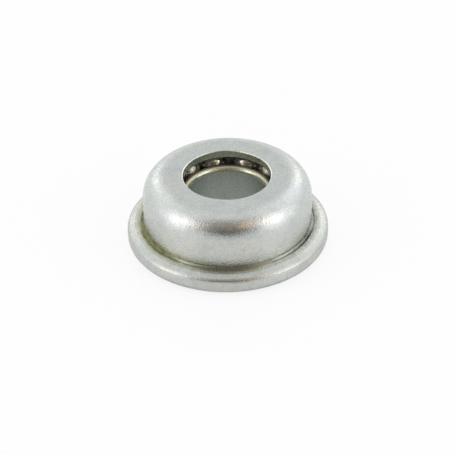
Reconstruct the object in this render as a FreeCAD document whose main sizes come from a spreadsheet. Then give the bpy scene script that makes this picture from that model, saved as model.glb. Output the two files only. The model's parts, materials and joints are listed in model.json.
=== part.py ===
# Flanged wheel hub bearing: a pressed cup crimped to a retainer, with loose balls on a turned inner race.
# Units are millimetres. +Z is the bearing's axis, and z = 0 is the lower end of the inner race.

import FreeCAD, Part
import math
import os

import Sketcher
from FreeCAD import Vector

# Driving sizes: name, value and what it measures.
SIZES = [
    ("bore_diameter", 16.0, "axle hole in the inner race"),
    ("collar_wall", 1.25, "least inner race wall between the bore and the ball track"),
    ("collar_rise", 1.35, "collar of the inner race above the ball centres"),
    ("bore_entry_radius", 1.0, "rounded upper edge of the bore"),
    ("race_edge_radius", 0.15, "rounding of the inner race's outer edges"),
    ("race_foot_radius", 0.4, "rounding of the inner race's lower end"),
    ("shelf_thickness", 2.3, "shelf of the inner race under the balls"),
    ("shelf_overhang", 0.4, "shelf beyond the pitch circle of the balls"),
    ("sleeve_wall", 2.0, "wall of the inner race's lower sleeve"),
    ("race_stand_off", 0.4, "inner race proud of the flange, so that an axle washer clears it"),
    ("ball_count", 12, "balls in the ring"),
    ("ball_diameter", 6.35, "ball"),
    ("ball_clearance", 0.08, "running room between a ball and its tracks"),
    ("ball_spacing", 0.1, "least room for each ball in the ring, shared out evenly"),
    ("ball_touch", 0.02, "room between two balls that lie together"),
    ("ball_gap_angle", 86.5, "degrees from +X to the middle of the gap in the ring of balls"),
    ("cup_thickness", 1.7, "sheet of the pressed cup"),
    ("cup_hole_margin", 1.03, "cup's hole beyond the bore, all round"),
    ("cup_hole_edge", 0.25, "rounded upper edge of the cup's hole"),
    ("cup_hole_burr_edge", 0.15, "rounded lower edge of the cup's hole"),
    ("cup_base_fillet", 0.5, "bend between the cup's wall and its base flange"),
    ("retainer_thickness", 1.3, "sheet of the retainer"),
    ("retainer_edge", 0.15, "rounding of the retainer's cut edges"),
    ("dish_rise", 3.3, "step of the retainer's dish, inside the cup"),
    ("dish_bend", 0.9, "inside bend at the foot of the dish"),
    ("dish_roof_bend", 0.5, "inside bend at the roof of the dish"),
    ("shelf_gap", 0.3, "running gap between the dish and the race's shelf"),
    ("sleeve_gap", 0.3, "running gap between the dish's hole and the race's sleeve"),
    ("spigot_clearance", 0.05, "dish in the cup's mouth"),
    ("crimp_clearance", 0.1, "edge of the cup's flange inside the fold"),
    ("crimp_bend", 0.46, "inside bend of the fold"),
    ("rim_bend", 0.3, "inside bend at the foot of the fold"),
    ("lip_clearance", 0.05, "edge of the folded lip beyond the cup's bend"),
    ("lip_flat", 0.34, "flat of the folded lip, from its edge to the crown"),
    ("crown_reach", 2.52, "crown of the fold, from the lip's flat to the rim's side"),
    ("crown_radius", 3.66, "gentle curve of the crown, next to the lip's flat"),
    ("crown_bend", 1.0, "tighter bend of the crown, next to the rim's side"),
]

# Most of the dish's step that each of its four bends may take up, so that the bends never meet.
FOOT_INNER = 0.3
FOOT_OUTER = 0.7
ROOF_INNER = 0.2
ROOF_OUTER = 0.6

# Most of the collar's wall that the bore's rounded edge may take up.
ENTRY = 0.82

# Places and radii that follow from the sizes, each worked out from the ones before it.
PLACES = [
    ("bore_radius", "Sizes.bore_diameter / 2"),
    ("track_radius", "Sizes.ball_diameter / 2 + Sizes.ball_clearance"),
    ("ring_radius", "(Sizes.ball_diameter + Sizes.ball_spacing) / (2 * sin(180 / Sizes.ball_count))"),
    ("pitch_radius", "max(bore_radius + Sizes.collar_wall + track_radius; ring_radius)"),
    ("collar_radius", "pitch_radius - track_radius"),
    ("bore_entry", f"min(Sizes.bore_entry_radius; {ENTRY} * Sizes.collar_wall)"),
    ("ball_step", "2 * asin((Sizes.ball_diameter + Sizes.ball_touch) / (2 * pitch_radius)) / 1 deg"),
    ("first_ball_angle", "Sizes.ball_gap_angle + 180 - ball_step * (Sizes.ball_count - 1) / 2"),
    ("shelf_radius", "pitch_radius + Sizes.shelf_overhang"),
    ("sleeve_radius", "bore_radius + Sizes.sleeve_wall"),
    ("cup_inside", "pitch_radius + track_radius"),
    ("cup_radius", "cup_inside + Sizes.cup_thickness"),
    ("cup_hole", "bore_radius + Sizes.cup_hole_margin"),
    ("shoulder_radius", "track_radius + Sizes.cup_thickness"),
    ("mouth_bend", "Sizes.cup_base_fillet + Sizes.cup_thickness"),
    ("lip_edge", "cup_radius + Sizes.cup_base_fillet + Sizes.lip_clearance"),
    ("crown_start", "lip_edge + Sizes.lip_flat"),
    ("rim_radius", "crown_start + Sizes.crown_reach"),
    ("rim_inside", "rim_radius - Sizes.retainer_thickness"),
    ("cup_rim", "rim_inside - Sizes.crimp_clearance"),
    ("dish_outside", "cup_inside - Sizes.spigot_clearance"),
    ("dish_inside", "dish_outside - Sizes.retainer_thickness"),
    ("dish_hole", "sleeve_radius + Sizes.sleeve_gap"),
    ("flange_foot", "Sizes.race_stand_off"),
    ("flange_seat", "flange_foot + Sizes.retainer_thickness"),
    ("flange_top", "flange_seat + Sizes.cup_thickness"),
    ("lip_top", "flange_top + Sizes.retainer_thickness"),
    ("dish_roof_under", "flange_foot + Sizes.dish_rise"),
    ("dish_roof", "dish_roof_under + Sizes.retainer_thickness"),
    ("shelf_under", "dish_roof + Sizes.shelf_gap"),
    ("shelf_top", "shelf_under + Sizes.shelf_thickness"),
    ("ball_height", "shelf_top + track_radius"),
    ("collar_top", "ball_height + Sizes.collar_rise"),
    ("cup_roof_under", "ball_height + track_radius"),
    ("cup_top", "cup_roof_under + Sizes.cup_thickness"),
    ("foot_bend", "Sizes.rim_bend + Sizes.retainer_thickness"),
    ("cup_rim_upper_edge", "Sizes.crimp_bend + Sizes.crimp_clearance"),
    ("cup_rim_lower_edge", "Sizes.rim_bend + Sizes.crimp_clearance"),
    ("dish_foot_inner", f"min(Sizes.dish_bend; {FOOT_INNER} * Sizes.dish_rise)"),
    ("dish_foot_outer", f"min(dish_foot_inner + Sizes.retainer_thickness; {FOOT_OUTER} * Sizes.dish_rise)"),
    ("dish_roof_inner", f"min(Sizes.dish_roof_bend; {ROOF_INNER} * Sizes.dish_rise)"),
    ("dish_roof_outer", f"min(dish_roof_inner + Sizes.retainer_thickness; {ROOF_OUTER} * Sizes.dish_rise)"),
]

# Half sections to turn about Z: level and upright lines in turn, the first one level.
# Each line has its place, a height or a radius, and the rounding of the corner where it ends.
# A crowned corner has two roundings, and then the place where the next line starts.
GROUND = "Ground"

CUP_SECTION = [
    ("Places.flange_seat", "Places.mouth_bend"),
    ("Places.cup_inside", "Places.track_radius"),
    ("Places.cup_roof_under", "Sizes.cup_hole_burr_edge"),
    ("Places.cup_hole", "Sizes.cup_hole_edge"),
    ("Places.cup_top", "Places.shoulder_radius"),
    ("Places.cup_radius", "Sizes.cup_base_fillet"),
    ("Places.flange_top", "Places.cup_rim_upper_edge"),
    ("Places.cup_rim", "Places.cup_rim_lower_edge"),
]

RETAINER_SECTION = [
    ("Places.dish_roof_under", "Places.dish_roof_inner"),
    ("Places.dish_inside", "Places.dish_foot_outer"),
    ("Places.flange_foot", "Places.foot_bend"),
    ("Places.rim_radius", "Sizes.crown_bend", "Sizes.crown_radius", "Places.crown_start"),
    ("Places.lip_top", "Sizes.retainer_edge"),
    ("Places.lip_edge", "Sizes.retainer_edge"),
    ("Places.flange_top", "Sizes.crimp_bend"),
    ("Places.rim_inside", "Sizes.rim_bend"),
    ("Places.flange_seat", "Places.dish_foot_inner"),
    ("Places.dish_outside", "Places.dish_roof_outer"),
    ("Places.dish_roof", "Sizes.retainer_edge"),
    ("Places.dish_hole", "Sizes.retainer_edge"),
]

INNER_RACE_SECTION = [
    (GROUND, "Sizes.race_foot_radius"),
    ("Places.sleeve_radius", "Sizes.race_edge_radius"),
    ("Places.shelf_under", "Sizes.race_edge_radius"),
    ("Places.shelf_radius", "Sizes.race_edge_radius"),
    ("Places.shelf_top", "Places.track_radius"),
    ("Places.collar_radius", "Sizes.race_edge_radius"),
    ("Places.collar_top", "Places.bore_entry"),
    ("Places.bore_radius", "Sizes.race_foot_radius"),
]

FULL_TURN = 360
ORIGIN = (-1, 1)
LEVEL_AXIS = -1
START, END = 1, 2


def add_sizes(doc):
    sheet = doc.addObject("Spreadsheet::Sheet", "Sizes")
    for row, (alias, value, meaning) in enumerate(SIZES, start=1):
        sheet.set(f"A{row}", str(value))
        sheet.setAlias(f"A{row}", alias)
        sheet.set(f"B{row}", meaning)


def add_places(doc):
    sheet = doc.addObject("Spreadsheet::Sheet", "Places")
    for row, (alias, formula) in enumerate(PLACES, start=1):
        sheet.set(f"A{row}", "=" + formula)
        sheet.setAlias(f"A{row}", alias)


def cell(doc, name):
    """Number in the cell that a name such as Places.cup_top stands for."""
    if name == GROUND:
        return 0.0
    sheet, alias = name.split(".")
    return float(doc.getObject(sheet).get(alias))


def origin_plane(body, role):
    return next(plane for plane in body.Origin.OriginFeatures if plane.Role == role)


def corner_points(doc, outline):
    """Sharp corners of an outline, each where a line meets the next one."""
    places = [cell(doc, row[0]) for row in outline]
    points = []
    for index, place in enumerate(places):
        following = places[(index + 1) % len(places)]
        level = index % 2 == 0
        points.append(Vector(following, place, 0) if level else Vector(place, following, 0))
    return points


def corner_cuts(doc, row, corner, level):
    """How much a corner's rounding takes off the line before it and off the line after it."""
    radius = cell(doc, row[1])
    if len(row) == 2:
        return radius, radius
    crown, start = cell(doc, row[2]), cell(doc, row[3])
    after = abs(start - (corner.y if level else corner.x))
    share = (after - radius) / (crown - radius)
    before = crown - (crown - radius) * math.sqrt(1 - share ** 2)
    return before, after


def add_lines(sketch, corners, cuts):
    """Straight runs between the roundings. The negative index takes the first line from the last corner."""
    headings = []
    for index, corner in enumerate(corners):
        heading = (corner - corners[index - 1]).normalize()
        start = corners[index - 1] + heading * cuts[index - 1][1]
        sketch.addGeometry(Part.LineSegment(start, corner - heading * cuts[index][0]))
        headings.append(heading)
    return headings


def add_arc(sketch, centre, ends, left_turn):
    """Arc from one end to the other. Arcs run anticlockwise: a right turn is entered at its end."""
    start, end = ends if left_turn else reversed(ends)
    angles = [math.atan2((point - centre).y, (point - centre).x) for point in (start, end)]
    circle = Part.Circle(centre, Vector(0, 0, 1), start.distanceToPoint(centre))
    arc = sketch.addGeometry(Part.ArcOfCircle(circle, *angles))
    entry, leave = (START, END) if left_turn else (END, START)
    return arc, entry, leave


def add_corner(doc, sketch, row, corner, cuts, headings):
    """Arcs that turn one line into the next: one for a plain rounding and two for a crown."""
    heading, next_heading = headings
    left_turn = heading.cross(next_heading).z > 0
    enter = corner - heading * cuts[0]
    leave = corner + next_heading * cuts[1]
    centre = enter + next_heading * cell(doc, row[1])
    if len(row) == 2:
        return [add_arc(sketch, centre, (enter, leave), left_turn)]
    crown_centre = leave - heading * cell(doc, row[2])
    meet = centre + (centre - crown_centre).normalize() * cell(doc, row[1])
    return [
        add_arc(sketch, centre, (enter, meet), left_turn),
        add_arc(sketch, crown_centre, (meet, leave), left_turn),
    ]


def bind(sketch, constraint, name):
    """Add a sized constraint and tie its value to a cell."""
    number = sketch.addConstraint(constraint)
    label = f"{name.split('.')[1]}_{number}"
    sketch.renameConstraint(number, label)
    sketch.setExpression(f"Constraints.{label}", name)


def place_line(doc, sketch, index, place):
    """Hold a line level or upright at its height or radius."""
    level = index % 2 == 0
    sketch.addConstraint(Sketcher.Constraint("Horizontal" if level else "Vertical", index))
    if place == GROUND:
        sketch.addConstraint(Sketcher.Constraint("PointOnObject", index, START, LEVEL_AXIS))
    else:
        measure = "DistanceY" if level else "DistanceX"
        bind(sketch, Sketcher.Constraint(measure, *ORIGIN, index, START, cell(doc, place)), place)


def hold_corner(doc, sketch, row, arcs, index, following):
    """Tie a corner's arcs to the lines on both sides, and their radii to the cells."""
    arc, entry, leave = arcs[0]
    sketch.addConstraint(Sketcher.Constraint("Tangent", index, END, arc, entry))
    for (arc, _, leave), (next_arc, next_entry, _) in zip(arcs, arcs[1:]):
        sketch.addConstraint(Sketcher.Constraint("Tangent", arc, leave, next_arc, next_entry))
    arc, _, leave = arcs[-1]
    sketch.addConstraint(Sketcher.Constraint("Tangent", arc, leave, following, START))
    for (arc, _, _), radius in zip(arcs, row[1:]):
        bind(sketch, Sketcher.Constraint("Radius", arc, cell(doc, radius)), radius)
    if len(row) > 2:
        measure = "DistanceY" if index % 2 == 0 else "DistanceX"
        bind(sketch, Sketcher.Constraint(measure, *ORIGIN, following, START, cell(doc, row[3])), row[3])


def draw_section(doc, body, name, outline):
    """Sketch an outline on the XZ plane: radius runs along X and height along Z."""
    sketch = body.newObject("Sketcher::SketchObject", name)
    sketch.AttachmentSupport = (origin_plane(body, "XZ_Plane"), [""])
    sketch.MapMode = "FlatFace"
    corners = corner_points(doc, outline)
    cuts = [corner_cuts(doc, row, corners[index], index % 2 == 0) for index, row in enumerate(outline)]
    headings = add_lines(sketch, corners, cuts)
    for index, row in enumerate(outline):
        place_line(doc, sketch, index, row[0])
    for index, row in enumerate(outline):
        following = (index + 1) % len(outline)
        turn = headings[index], headings[following]
        arcs = add_corner(doc, sketch, row, corners[index], cuts[index], turn)
        hold_corner(doc, sketch, row, arcs, index, following)
    return sketch


def turned_piece(doc, label, outline):
    """Body of revolution about Z from a half section."""
    body = doc.addObject("PartDesign::Body", label)
    body.Label = label
    sketch = draw_section(doc, body, label + "_section", outline)
    turn = body.newObject("PartDesign::Revolution", label + "_turn")
    turn.Profile = sketch
    turn.ReferenceAxis = (sketch, ["V_Axis"])
    turn.Angle = FULL_TURN
    body.Tip = turn
    return body


def ball_ring(doc):
    """Full complement of balls, lying together on the pitch circle with the spare room in one gap."""
    count = int(cell(doc, "Sizes.ball_count"))
    balls = []
    for index in range(count):
        label = f"ball_{index + 1:02d}"
        ball = doc.addObject("Part::Sphere", label)
        ball.Label = label
        angle = f"(Places.first_ball_angle + {index} * Places.ball_step)"
        ball.setExpression("Radius", "Sizes.ball_diameter / 2")
        ball.setExpression("Placement.Base.x", f"Places.pitch_radius * cos({angle})")
        ball.setExpression("Placement.Base.y", f"Places.pitch_radius * sin({angle})")
        ball.setExpression("Placement.Base.z", "Places.ball_height")
        balls.append(ball)
    return balls


def check(doc, pieces):
    """Stop before anything is written if a feature failed or a solid isn't sound."""
    failed = [item.Name for item in doc.Objects if {"Invalid", "Error"} & set(item.State)]
    if failed:
        raise RuntimeError("failed features: " + ", ".join(failed))
    for piece in pieces:
        if piece.Shape.isNull() or not piece.Shape.isValid():
            raise RuntimeError("unsound solid: " + piece.Label)


def main():
    doc = FreeCAD.newDocument("wheel_hub_bearing")
    add_sizes(doc)
    doc.recompute()
    add_places(doc)
    doc.recompute()
    pieces = [
        turned_piece(doc, "outer_cup", CUP_SECTION),
        turned_piece(doc, "crimped_retainer", RETAINER_SECTION),
        turned_piece(doc, "inner_race", INNER_RACE_SECTION),
    ]
    pieces += ball_ring(doc)
    doc.recompute()
    check(doc, pieces)
    os.makedirs("parts", exist_ok=True)
    for piece in pieces:
        piece.Shape.exportStep(f"parts/{piece.Label}.step")


main()
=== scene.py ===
import json
import math

import bmesh
import bpy
from mathutils import Matrix, Vector, noise


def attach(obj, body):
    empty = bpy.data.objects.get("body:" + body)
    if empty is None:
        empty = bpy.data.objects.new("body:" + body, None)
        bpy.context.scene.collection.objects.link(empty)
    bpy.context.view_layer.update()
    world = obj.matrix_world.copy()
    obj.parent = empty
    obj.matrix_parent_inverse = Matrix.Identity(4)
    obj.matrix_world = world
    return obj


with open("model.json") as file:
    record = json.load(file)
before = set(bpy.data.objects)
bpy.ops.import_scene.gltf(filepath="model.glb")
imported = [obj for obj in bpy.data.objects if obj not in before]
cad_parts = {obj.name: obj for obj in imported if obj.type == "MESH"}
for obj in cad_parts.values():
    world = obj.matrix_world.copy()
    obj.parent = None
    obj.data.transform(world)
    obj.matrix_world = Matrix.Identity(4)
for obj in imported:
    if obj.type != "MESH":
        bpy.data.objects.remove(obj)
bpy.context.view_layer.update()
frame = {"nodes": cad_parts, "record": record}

MM = 0.001

mounts = {mount["name"]: mount for mount in frame["record"]["mounts"]}
joints = {joint["name"]: joint for joint in frame["record"]["behaviour"]["joints"]}

# Places of the bearing that the finishes follow, in millimetres.
BORE_RADIUS = mounts["axle_bore"]["dims"]["r_mm"]
HOLE_RADIUS = mounts["spacer_hole"]["dims"]["r_mm"]
WALL_RADIUS = mounts["hub_seat"]["dims"]["r_mm"]
LIP_TOP = mounts["hub_stop"]["pos_m"][2] / MM
BALL_HEIGHT = joints["ball_orbit"]["pos_m"][2] / MM
GUTTER_WIDTH = 0.55
LIP_EDGE = WALL_RADIUS + GUTTER_WIDTH
TRACK_RADIUS = 3.255
COLLAR_WALL = 1.25
COLLAR_RISE = 1.35
COLLAR_RADIUS = BORE_RADIUS + COLLAR_WALL
COLLAR_TOP = BALL_HEIGHT + COLLAR_RISE
SHELF_TOP = BALL_HEIGHT - TRACK_RADIUS
PITCH_RADIUS = COLLAR_RADIUS + TRACK_RADIUS

# From the balls' centres to the middle of the cup's sheet.
CUP_SHEET = 1.7
SHEET_MIDDLE = TRACK_RADIUS + CUP_SHEET / 2

# About the middle of the gutter between the wall and the folded lip.
GUTTER_RADIUS = WALL_RADIUS + 0.28

# Direction across the axis of the side where most grease came out.
STAIN_SIDE = (-0.927, -0.375)


class Value:
    """A value socket of a finish. Arithmetic on it adds Math nodes."""

    def __init__(self, finish, socket):
        self.finish = finish
        self.socket = socket

    def math(self, operation, first, second=0.0):
        return self.finish.node("ShaderNodeMath", {"operation": operation}, {0: first, 1: second})

    def __add__(self, other):
        return self.math("ADD", self, other)

    def __radd__(self, other):
        return self.math("ADD", other, self)

    def __sub__(self, other):
        return self.math("SUBTRACT", self, other)

    def __rsub__(self, other):
        return self.math("SUBTRACT", other, self)

    def __mul__(self, other):
        return self.math("MULTIPLY", self, other)

    def __rmul__(self, other):
        return self.math("MULTIPLY", other, self)

    def __truediv__(self, other):
        return self.math("DIVIDE", self, other)

    def above_zero(self):
        return self.math("MAXIMUM", self, 0.0)

    def root(self):
        return self.math("SQRT", self)


class Finish:
    """A material, or the world, that is put together node by node."""

    def __init__(self, owner):
        owner.use_nodes = True
        self.owner = owner
        self.tree = owner.node_tree
        self.tree.nodes.clear()

    def node(self, kind, settings=None, inputs=None, output=0):
        """Add a node, apply its settings, then set or link its sockets. Gives the named output."""
        made = self.tree.nodes.new(kind)
        for key, value in (settings or {}).items():
            setattr(made, key, value)
        for key, value in (inputs or {}).items():
            if isinstance(value, Value):
                self.tree.links.new(value.socket, made.inputs[key])
            else:
                made.inputs[key].default_value = value
        return Value(self, made.outputs[output]) if made.outputs else made

    def place(self):
        """Object coordinates in millimetres."""
        where = self.node("ShaderNodeTexCoord", output="Object")
        return self.node("ShaderNodeVectorMath", {"operation": "SCALE"}, {0: where, "Scale": 1 / MM})

    def axes(self, place):
        return [self.node("ShaderNodeSeparateXYZ", inputs={0: place}, output=axis) for axis in "XYZ"]

    def noise(self, place, scale, detail, roughness, distortion=0.0):
        sockets = {"Vector": place, "Scale": scale, "Detail": detail, "Roughness": roughness,
                   "Distortion": distortion}
        return self.node("ShaderNodeTexNoise", {"noise_dimensions": "3D"}, sockets)

    def turned_lines(self, radius, z, scale, detail, roughness):
        """Noise that runs round the axis, as on a turned or rolled piece."""
        section = self.node("ShaderNodeCombineXYZ", inputs={"X": radius, "Z": z})
        return self.noise(section, scale, detail, roughness)

    def ease(self, value, low, high, start=0.0, end=1.0):
        """A smooth step from start at low to end at high."""
        sockets = {"Value": value, "From Min": low, "From Max": high, "To Min": start, "To Max": end}
        return self.node("ShaderNodeMapRange", {"interpolation_type": "SMOOTHSTEP"}, sockets)

    def blend(self, share, first, second):
        """A colour that goes from first to second as share goes from 0 to 1."""
        return self.node("ShaderNodeMix", {"data_type": "RGBA"}, {0: share, 6: first, 7: second}, 2)

    def bump(self, height, depth, normal=None):
        """Relief of that depth in metres, on top of the relief in normal."""
        sockets = {"Height": height, "Distance": depth, "Strength": 1.0}
        if normal:
            sockets["Normal"] = normal
        return self.node("ShaderNodeBump", inputs=sockets)

    def show(self, shader, output="ShaderNodeOutputMaterial"):
        """Link the shader to the output. Gives the material or world, which is then done."""
        self.node(output, inputs={"Surface": shader})
        return self.owner

    def surface(self, **sockets):
        names = {key.replace("_", " ").title(): value for key, value in sockets.items()}
        return self.show(self.node("ShaderNodeBsdfPrincipled", inputs=names))


def new_finish(name):
    return Finish(bpy.data.materials.new(name))


def reach(first, second):
    """Distance over two lengths at right angles."""
    return (first * first + second * second).root()


def colour(red, green, blue):
    return (red, green, blue, 1.0)


def toward_stain(x, y, radius):
    """Cosine of the angle from the side where most grease came out."""
    return (x * STAIN_SIDE[0] + y * STAIN_SIDE[1]) / radius


COOL_ZINC = colour(0.57, 0.607, 0.588)
WARM_ZINC = colour(0.598, 0.612, 0.562)
DULL_ZINC = colour(0.4, 0.42, 0.42)
BRIGHT_ZINC = colour(0.82, 0.84, 0.83)
SMUDGED_ZINC = colour(0.46, 0.5, 0.5)
DARKER_CREST = colour(0.2, 0.21, 0.2)
OLIVE_STAIN = colour(0.37, 0.375, 0.15)
GREY_SMEAR_AND_SHADE = colour(0.34, 0.35, 0.3)
PAINTED_LIGHT_FOOT = colour(0.74, 0.8, 0.69)
GREASE_AND_PAINTED_LIGHT_INSIDE = colour(0.86, 0.84, 0.75)
CUT_EDGE = colour(0.57, 0.585, 0.46)
CUT_EDGE_BROWN = colour(0.65, 0.6, 0.41)
PAINTED_EDGE_HIGHLIGHT = colour(0.93, 0.93, 0.9)


def gutter_marks(finish, plate, axes, radius, mottle):
    """Olive stain round the gutter, a grey smear on the lip that is partly painted shade, painted light on
    the wall's foot at the +X side, and a darker outer crest.
    """
    x, y, z = axes
    from_gutter = reach(radius - GUTTER_RADIUS, z - LIP_TOP)
    stain = finish.ease(from_gutter, 0.3, 2.6, start=1.0, end=0.0)
    stain = stain * finish.ease(toward_stain(x, y, radius), 0.2, 0.95, start=0.05, end=0.5)
    stain = stain * finish.ease(mottle, 0.3, 0.6, start=0.5, end=1.0)
    plate = finish.blend(stain, plate, OLIVE_STAIN)

    # Grey smear of grease on the lip by the gutter. It also darkens the lip as painted shade.
    smear_and_shade = finish.ease(radius, LIP_EDGE + 0.5, LIP_EDGE + 1.6, start=0.5, end=0.0)
    smear_and_shade = smear_and_shade * finish.ease(LIP_TOP + 0.1 - z, 0.0, 0.1)
    smear_and_shade = smear_and_shade * finish.ease(mottle, 0.35, 0.65, start=0.4, end=1.0) * (1 + x / radius * 0.4)
    plate = finish.blend(smear_and_shade, plate, GREY_SMEAR_AND_SHADE)

    # Painted light: near the gutter, the foot of the wall is paler on the +X side.
    foot_light = finish.ease(from_gutter, 0.5, 2.2, start=0.6, end=0.0)
    foot_light = foot_light * finish.ease(x / radius, 0.1, 0.5)
    foot_light = foot_light * finish.ease(radius, LIP_EDGE - 0.3, LIP_EDGE, start=1.0, end=0.0)
    plate = finish.blend(foot_light, plate, PAINTED_LIGHT_FOOT)

    # The outer crest of the rim is a little darker.
    crest_darkening = finish.ease(radius, LIP_EDGE + 1.3, LIP_EDGE + 1.9, end=0.14)
    crest_darkening = crest_darkening * finish.ease(z, LIP_TOP - 1.5, LIP_TOP - 1.1)
    return finish.blend(crest_darkening, plate, DARKER_CREST)


def inside_cup(finish, radius, z):
    """Share that is 1 on the inner side of the cup's sheet and 0 on its outer side."""
    out = (radius - PITCH_RADIUS).above_zero()
    up = (z - BALL_HEIGHT).above_zero()
    inside = finish.ease(reach(out, up), SHEET_MIDDLE - 0.3, SHEET_MIDDLE + 0.1, start=1.0, end=0.0)
    inside = inside * finish.ease(z, LIP_TOP, LIP_TOP + 0.8)
    return inside * finish.ease(radius, HOLE_RADIUS + 0.1, HOLE_RADIUS + 0.5)


def hole_marks(finish, plate, x, radius, cloud):
    """Greasy cut edge of the cup's hole, and a painted highlight on its rim at both sides."""
    film = finish.ease(radius, HOLE_RADIUS + 0.02, HOLE_RADIUS + 0.1, start=0.9, end=0.0)
    cut = finish.blend(finish.ease(x / radius, 0.2, 0.7), CUT_EDGE, CUT_EDGE_BROWN)
    plate = finish.blend(film * finish.ease(cloud, 0.3, 0.7, start=0.7, end=1.0), plate, cut)
    # Painted highlight on the hole's rim, at the left and right sides only.
    edge_highlight = finish.ease(radius, HOLE_RADIUS + 0.1, HOLE_RADIUS + 0.35, start=0.9, end=0.0)
    edge_highlight = edge_highlight * finish.ease(x * x / (radius * radius), 0.5, 0.9)
    return finish.blend(edge_highlight, plate, PAINTED_EDGE_HIGHLIGHT)


def zinc_plate():
    """Pale satin zinc plate over pressed sheet, greased inside the cup and stained round the gutter, with
    painted light and shade: paler grease inside the cup, a grey smear and a pale wall foot by the gutter,
    and a painted highlight on the hole's rim.
    """
    finish = new_finish("zinc_plate")
    place = finish.place()
    x, y, z = finish.axes(place)
    radius = reach(x, y)
    cloud = finish.noise(place, scale=0.17, detail=3.0, roughness=0.55)
    mottle = finish.noise(place, scale=0.8, detail=4.0, roughness=0.6)
    grain = finish.noise(place, scale=3.0, detail=3.0, roughness=0.6)
    wave = finish.noise(place, scale=0.45, detail=1.0, roughness=0.5)
    smudge = finish.noise(place, scale=0.3, detail=3.0, roughness=0.6, distortion=0.4)
    rolled = finish.turned_lines(radius, z, scale=2.6, detail=3.0, roughness=0.6)
    rim = finish.ease(radius, LIP_EDGE, LIP_EDGE + 0.6)

    cooler_up = finish.ease(z, 8.0, 14.0, start=0.1, end=-0.12)
    warmth = cloud + cooler_up - rim * 0.08
    plate = finish.blend(finish.ease(warmth, 0.35, 0.65), COOL_ZINC, WARM_ZINC)
    plate = finish.blend(finish.ease(mottle, 0.4, 0.72, end=0.22), plate, DULL_ZINC)
    plate = finish.blend(finish.ease(grain, 0.45, 0.65, end=0.32) * (1 - rim * 0.55), plate, BRIGHT_ZINC)
    plate = finish.blend(finish.ease(smudge, 0.5, 0.68, end=0.4), plate, SMUDGED_ZINC)
    plate = gutter_marks(finish, plate, (x, y, z), radius, mottle)
    inside = inside_cup(finish, radius, z)
    # Grease inside the cup. Its pale colour is partly painted light that brightens the dark chamber under
    # the roof.
    plate = finish.blend(inside, plate, GREASE_AND_PAINTED_LIGHT_INSIDE)
    plate = hole_marks(finish, plate, x, radius, cloud)

    roughness = finish.ease(mottle, 0.3, 0.7, start=0.19, end=0.28) + inside * 0.2 + rim * 0.012
    normal = finish.bump(wave, 0.03 * MM)
    normal = finish.bump(grain * (1 - rim * 0.06), 0.066 * MM, normal)
    normal = finish.bump(rolled * rim, 0.1 * MM, normal)
    return finish.surface(base_color=plate, metallic=1 - inside, roughness=roughness, normal=normal)


DARK_STEEL = colour(0.59, 0.635, 0.595)
LIGHT_STEEL = colour(0.665, 0.715, 0.67)
STEEL_FLECK = colour(0.33, 0.34, 0.32)
OILED_STEEL = colour(0.5, 0.49, 0.33)
PALE_BRASS = colour(0.75, 0.775, 0.67)
DARK_BRASS = colour(0.44, 0.435, 0.265)
PAINTED_SHADE_BRASS = colour(0.34, 0.33, 0.22)
COLLAR_LAND = colour(0.4, 0.37, 0.25)
GREASED_TRACK = colour(0.42, 0.38, 0.28)


def race_steel():
    """Turned and ground race steel under a film of oil, brassy on the collar's rounded edge, with painted
    shade on that edge at the far side.
    """
    finish = new_finish("ground_race_steel")
    place = finish.place()
    x, y, z = finish.axes(place)
    radius = reach(x, y)
    lines = finish.turned_lines(radius, z, scale=9.0, detail=2.0, roughness=0.6)
    film = finish.noise(place, scale=0.5, detail=3.0, roughness=0.6)
    flecks = finish.noise(place, scale=3.2, detail=3.0, roughness=0.7)
    edge = finish.ease(z, COLLAR_TOP - 1.35, COLLAR_TOP - 0.75)

    steel = finish.blend(finish.ease(lines, 0.3, 0.7), DARK_STEEL, LIGHT_STEEL)
    steel = finish.blend(finish.ease(flecks, 0.48, 0.66, end=0.55), steel, STEEL_FLECK)
    oil = finish.ease(z, COLLAR_TOP - 2.6, COLLAR_TOP - 0.9, end=0.35)
    steel = finish.blend(oil * finish.ease(film, 0.35, 0.6, start=0.3, end=1.0), steel, OILED_STEEL)
    brass = finish.blend(finish.ease(flecks, 0.43, 0.56), PALE_BRASS, DARK_BRASS)
    # Painted shade: the brass edge is darker on the far side, which faces the camera.
    brass = finish.blend(finish.ease(y / radius, 0.8, 0.98, end=0.5), brass, PAINTED_SHADE_BRASS)
    steel = finish.blend(edge * finish.ease(film, 0.3, 0.6, start=0.6, end=1.0), steel, brass)
    land = finish.ease(z, COLLAR_TOP - 0.3, COLLAR_TOP - 0.08, end=0.8)
    steel = finish.blend(land, steel, COLLAR_LAND)
    greased = finish.ease(radius, COLLAR_RADIUS - 0.05, COLLAR_RADIUS + 0.2)
    greased = greased * finish.ease(z, SHELF_TOP + 0.1, SHELF_TOP + 0.7)
    steel = finish.blend(greased, steel, GREASED_TRACK)

    roughness = finish.ease(film, 0.3, 0.7, start=0.36, end=0.46) - edge * 0.2
    metallic = 1 - greased * 0.6 - edge * 0.25
    normal = finish.bump(lines, 0.003 * MM)
    return finish.surface(base_color=steel, metallic=metallic, roughness=roughness, normal=normal)


CLEAN_BALL = colour(0.38, 0.375, 0.32)
GREASED_BALL = colour(0.28, 0.26, 0.215)


def ball_steel():
    """Polished ball steel under a brown film of grease."""
    finish = new_finish("greased_ball_steel")
    film = finish.ease(finish.noise(finish.place(), scale=0.7, detail=3.0, roughness=0.6), 0.38, 0.62)
    steel = finish.blend(film, CLEAN_BALL, GREASED_BALL)
    return finish.surface(base_color=steel, roughness=0.05 + film * 0.09, metallic=0.95 - film * 0.45)


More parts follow.
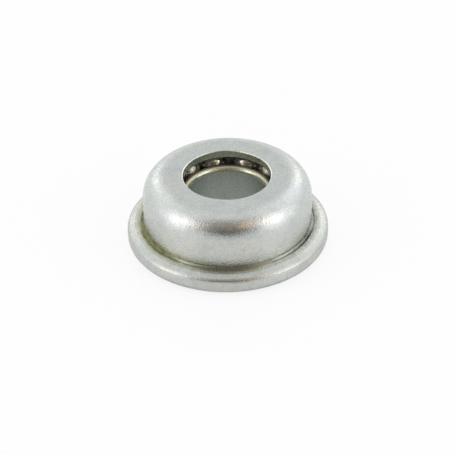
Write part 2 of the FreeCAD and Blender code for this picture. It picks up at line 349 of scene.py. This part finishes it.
THIN_GREASE = colour(0.38, 0.4, 0.365)
THIN_GREASE_PALE = colour(0.46, 0.47, 0.43)
FRONT_GREASE_AND_SHADE = colour(0.25, 0.25, 0.19)
PAINTED_LIGHT_GUTTER = colour(0.54, 0.57, 0.54)
CREVICE_SHADE = colour(0.06, 0.065, 0.05)
THICK_GREASE = colour(0.19, 0.2, 0.075)
THICK_GREASE_BROWN = colour(0.1, 0.088, 0.032)


def grease():
    """Old bearing grease: a thin pale film, with painted shade in front and a painted shade line in the
    crevice by the lip.

    It is thick and olive-brown where most of it came out, and painted light makes it palest at the +X end.
    """
    finish = new_finish("old_grease")
    place = finish.place()
    x, y, _ = finish.axes(place)
    radius = reach(x, y)
    across = x / radius
    lumps = finish.noise(place, scale=1.1, detail=3.0, roughness=0.6)

    thin = finish.blend(finish.ease(lumps, 0.35, 0.65), THIN_GREASE, THIN_GREASE_PALE)
    # Painted shade: the grease is darker at the front.
    front = y / radius - finish.ease(across, 0.1, 0.35, end=0.07)
    thin = finish.blend(finish.ease(front, -0.98, -0.85, start=0.9, end=0.0), thin, FRONT_GREASE_AND_SHADE)
    # Painted light: the grease is paler and less metallic at the +X end.
    lit_end = finish.ease(across, 0.93, 1.0)
    thin = finish.blend(lit_end, thin, PAINTED_LIGHT_GUTTER)
    # Painted shade: a dark line in the crevice by the lip, at both sides.
    sides = finish.ease(across, 0.4, 0.55) + finish.ease(across, -0.4, -0.25, start=1.0, end=0.0)
    crevice_shade = finish.ease(radius, GUTTER_RADIUS - 0.16, GUTTER_RADIUS - 0.06) * sides * (1 - lit_end)
    thin = finish.blend(crevice_shade * 0.85, thin, CREVICE_SHADE)

    thick = finish.blend(finish.ease(lumps, 0.4, 0.7), THICK_GREASE, THICK_GREASE_BROWN)
    thickness = finish.ease(toward_stain(x, y, radius), 0.78, 0.96)
    tone = finish.blend(thickness, thin, thick)
    roughness = finish.ease(lumps, 0.3, 0.7, start=0.22, end=0.35) + thickness * 0.2
    metallic = finish.ease(thickness, 0.0, 1.0, start=0.85, end=0.2) - lit_end * 0.45
    normal = finish.bump(lumps, 0.02 * MM)
    return finish.surface(base_color=tone, metallic=metallic, roughness=roughness, normal=normal)


def add_object(name, data):
    made = bpy.data.objects.new(name, data)
    bpy.context.scene.collection.objects.link(made)
    return made


def add_mesh(name, shape, material):
    """Object of that name from a bmesh, which is used up."""
    mesh = bpy.data.meshes.new(name)
    shape.to_mesh(mesh)
    shape.free()
    mesh.materials.append(material)
    return add_object(name, mesh)


# Section of the bead of grease in millimetres: radius and height of each point, and its swell out and up.
BEAD_SECTION = (
    ((17.3, 3.35), (0.0, 0.0)),
    ((17.3, 5.6), (0.0, 0.5)),
    ((17.5, 4.82), (0.03, 0.32)),
    ((17.6, 4.58), (0.08, 0.28)),
    ((17.76, 4.38), (0.12, 0.34)),
    ((17.98, 4.2), (0.15, 0.46)),
    ((18.2, 3.35), (0.0, 0.0)),
)
BEAD_STEPS = 240
MERGE_DISTANCE = 1e-7

# The bead swells from these cosines of the angle on, at the stained side and at both ends along X.
STAINED_FROM = 0.75
ENDS_FROM = 0.93

# Shares of the full swell there, and of the lumps on it and on the rest of the bead.
STAINED_SWELL = 0.8
STAINED_LUMPS = 0.9
ENDS_SWELL = 0.45
PLAIN_LUMPS = 0.06
LUMP_SCALE = 0.35


def hundredths(radius, height):
    """A point of the section in whole hundredths of a millimetre."""
    return round(radius * 100), round(height * 100)


def bead_swell(point):
    """Share of the full swell at a point of the bead."""
    radius = math.hypot(point.x, point.y)
    lump = noise.noise(point / MM * LUMP_SCALE)
    stained = max(0.0, (toward_stain(point.x, point.y, radius) - STAINED_FROM) / (1 - STAINED_FROM))
    ends = max(0.0, (abs(point.x) / radius - ENDS_FROM) / (1 - ENDS_FROM))
    return stained * (STAINED_SWELL + STAINED_LUMPS * lump) + PLAIN_LUMPS * lump + ENDS_SWELL * ends


def gutter_bead():
    """A bead of grease in the gutter, which runs over the lip and climbs the wall on one side."""
    shape = bmesh.new()
    points = [shape.verts.new((radius * MM, 0.0, height * MM)) for (radius, height), _ in BEAD_SECTION]
    edges = [shape.edges.new(pair) for pair in zip(points, points[1:] + points[:1])]
    bmesh.ops.spin(shape, geom=points + edges, cent=(0, 0, 0), axis=(0, 0, 1), angle=2 * math.pi,
                   steps=BEAD_STEPS, use_merge=True)
    bmesh.ops.remove_doubles(shape, verts=shape.verts, dist=MERGE_DISTANCE)
    swells = {hundredths(*point): swell for point, swell in BEAD_SECTION}
    for vert in shape.verts:
        radius = math.hypot(vert.co.x, vert.co.y)
        out, up = swells[hundredths(radius / MM, vert.co.z / MM)]
        share = bead_swell(vert.co)
        vert.co.xy *= 1 + out * MM * share / radius
        vert.co.z += up * MM * share
    bmesh.ops.recalc_face_normals(shape, faces=shape.faces)
    for face in shape.faces:
        face.smooth = True
    bead = add_mesh("gutter_bead", shape, grease())
    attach(bead, "outer")


def dress_solids():
    """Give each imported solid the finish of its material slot."""
    finishes = {"zinc_plated_steel": zinc_plate(), "race_steel": race_steel(), "ball_steel": ball_steel()}
    for node in frame["nodes"].values():
        slot = node.data.materials[0].name
        node.data.materials[0] = finishes[slot]


# The camera's place in metres, with its lens and sensor in millimetres.
ELEVATION = math.radians(34.45)
DISTANCE = 0.4622
TARGET = Vector((-0.00009, 0.0, 0.00656))
AHEAD = Vector((0.0, math.cos(ELEVATION), -math.sin(ELEVATION)))
UP = Vector((0.0, math.sin(ELEVATION), math.cos(ELEVATION)))
FRAME_LIFT = 0.0033
SENSOR_WIDTH = 36.0
LENS = 176.27
ROLL = math.radians(-1.17)

FLOOR_SIZE = 3.0
WHITE = colour(1, 1, 1)
FLOOR_WHITE = colour(0.84, 0.84, 0.84)

# How much of the floor is plain white to the camera, and in metal and glass.
WHITE_TO_CAMERA = 0.85
WHITE_IN_METAL = 0.1

SIDE_GLOW = colour(1.9, 1.8, 1.82)
SIDE_HEART = colour(3.4, 3.25, 3.25)
BACK_GLOW = colour(2.8, 2.7, 2.73)
LEFT_FILL = colour(1.14, 1.14, 1.14)
RIGHT_FILL = colour(1.24, 1.26, 1.28)
BACK_GREY = colour(0.83, 0.83, 0.83)
DARK_FOOT = colour(0.06, 0.053, 0.045)
DARK_HEAD = colour(0.46, 0.435, 0.4)
WARM_GLOW = colour(2.3, 1.42, 0.66)
PINK_GLOW = colour(0.95, 0.7, 0.47)


def face_bearing(made, azimuth, elevation, distance):
    """Put a lamp or card round the bearing, facing it. Azimuth 0 is the camera's side."""
    turn, rise = math.radians(azimuth), math.radians(elevation)
    heading = Vector((math.sin(turn) * math.cos(rise), -math.cos(turn) * math.cos(rise), math.sin(rise)))
    made.location = heading * distance
    made.rotation_euler = (-made.location).to_track_quat("-Z", "Y").to_euler()


def make_camera():
    """The photograph's view, a little rolled, with the bearing above the middle of the frame."""
    data = bpy.data.cameras.new("camera")
    data.sensor_width = SENSOR_WIDTH
    data.lens = LENS
    camera = add_object("camera", data)
    camera.location = TARGET - AHEAD * DISTANCE
    aim = TARGET - UP * FRAME_LIFT - camera.location
    turn = aim.to_track_quat("-Z", "Y").to_matrix() @ Matrix.Rotation(ROLL, 3, "Z")
    camera.rotation_euler = turn.to_euler()
    bpy.context.scene.camera = camera


def make_lamp(name, at, size, radiance):
    """A soft lamp, at an azimuth, elevation and distance. Its shine on metal is left to the cards."""
    width, height = size
    data = bpy.data.lights.new(name, "AREA")
    data.shape = "RECTANGLE"
    data.size, data.size_y = width, height
    data.energy = radiance * math.pi * width * height
    lamp = add_object(name, data)
    face_bearing(lamp, *at)
    lamp.visible_camera = False
    lamp.visible_glossy = False


def make_card(name, at, size, low, high=None, firm=0.45):
    """An oval card that only metal sees. It goes from low to high up its height and fades out past firm."""
    width, height = size
    shape = bmesh.new()
    bmesh.ops.create_grid(shape, x_segments=1, y_segments=1, size=0.5)
    bmesh.ops.scale(shape, vec=(width, height, 1.0), verts=shape.verts)
    finish = new_finish(name)
    across, rise, _ = finish.axes(finish.node("ShaderNodeTexCoord", output="Object"))
    across, rise = across / (width / 2), rise / (height / 2)
    share = finish.ease(reach(across, rise), firm, 1.0, start=1.0, end=0.0)
    glow = finish.blend(finish.ease(rise, -0.7, 0.7), low, high) if high else low
    shine = finish.node("ShaderNodeEmission", inputs={"Color": glow, "Strength": 1.0})
    clear = finish.node("ShaderNodeBsdfTransparent")
    mixed = finish.node("ShaderNodeMixShader", inputs={0: share, 1: clear, 2: shine})
    card = add_mesh(name, shape, finish.show(mixed))
    face_bearing(card, *at)
    card.visible_camera = False
    card.visible_diffuse = False
    card.visible_shadow = False


def make_floor():
    """A white floor that keeps the bearing's shadow."""
    shape = bmesh.new()
    bmesh.ops.create_grid(shape, x_segments=1, y_segments=1, size=FLOOR_SIZE)
    finish = new_finish("floor_white")
    rays = ("Is Camera Ray", "Is Glossy Ray", "Is Transmission Ray")
    camera, glossy, through = [finish.node("ShaderNodeLightPath", output=ray) for ray in rays]
    share = camera * WHITE_TO_CAMERA + (glossy + through) * WHITE_IN_METAL
    matt = finish.node("ShaderNodeBsdfPrincipled", inputs={"Base Color": FLOOR_WHITE, "Roughness": 0.25})
    glow = finish.node("ShaderNodeEmission", inputs={"Color": WHITE, "Strength": 1.0})
    mixed = finish.node("ShaderNodeMixShader", inputs={0: share, 1: matt, 2: glow})
    floor = add_mesh("floor", shape, finish.show(mixed))


def make_world():
    room = Finish(bpy.data.worlds.new("white_room"))
    sky = room.node("ShaderNodeBackground", inputs={"Color": WHITE, "Strength": 1.0})
    bpy.context.scene.world = room.show(sky, "ShaderNodeOutputWorld")


def make_stage():
    """A white floor and room, a soft lamp at each side, and cards that only metal sees."""
    make_world()
    make_floor()
    for side, name, fill in ((-1, "left", LEFT_FILL), (1, "right", RIGHT_FILL)):
        make_lamp(name + "_lamp", at=(side * 72, 27, 0.6), size=(0.4, 0.5), radiance=0.8)
        make_card(name + "_glow", at=(side * 70, 25, 0.6), size=(0.7, 1.05), low=SIDE_GLOW, firm=0.1)
        make_card(name + "_heart", at=(side * 66, 30, 0.55), size=(0.19, 0.17), low=SIDE_HEART, firm=0.4)
        make_card(name + "_back_glow", at=(side * 150, 20, 0.6), size=(0.2, 0.16), low=BACK_GLOW)
        make_card(name + "_fill", at=(side * 136, 37, 0.75), size=(0.8, 0.85), low=fill)
    make_card("back_card", at=(180, 52, 0.7), size=(0.52, 1.4), low=BACK_GREY)
    make_card("dark_card", at=(0, 40, 0.75), size=(1.69, 1.78), low=DARK_FOOT, high=DARK_HEAD, firm=0.4)
    make_card("warm_card", at=(33, 42, 0.68), size=(0.34, 0.2), low=WARM_GLOW, firm=0.2)
    make_card("pink_card", at=(-36, 38, 0.68), size=(0.3, 0.2), low=PINK_GLOW, firm=0.2)


dress_solids()
gutter_bead()
make_camera()
make_stage()
bpy.context.scene.view_settings.view_transform = "Standard"
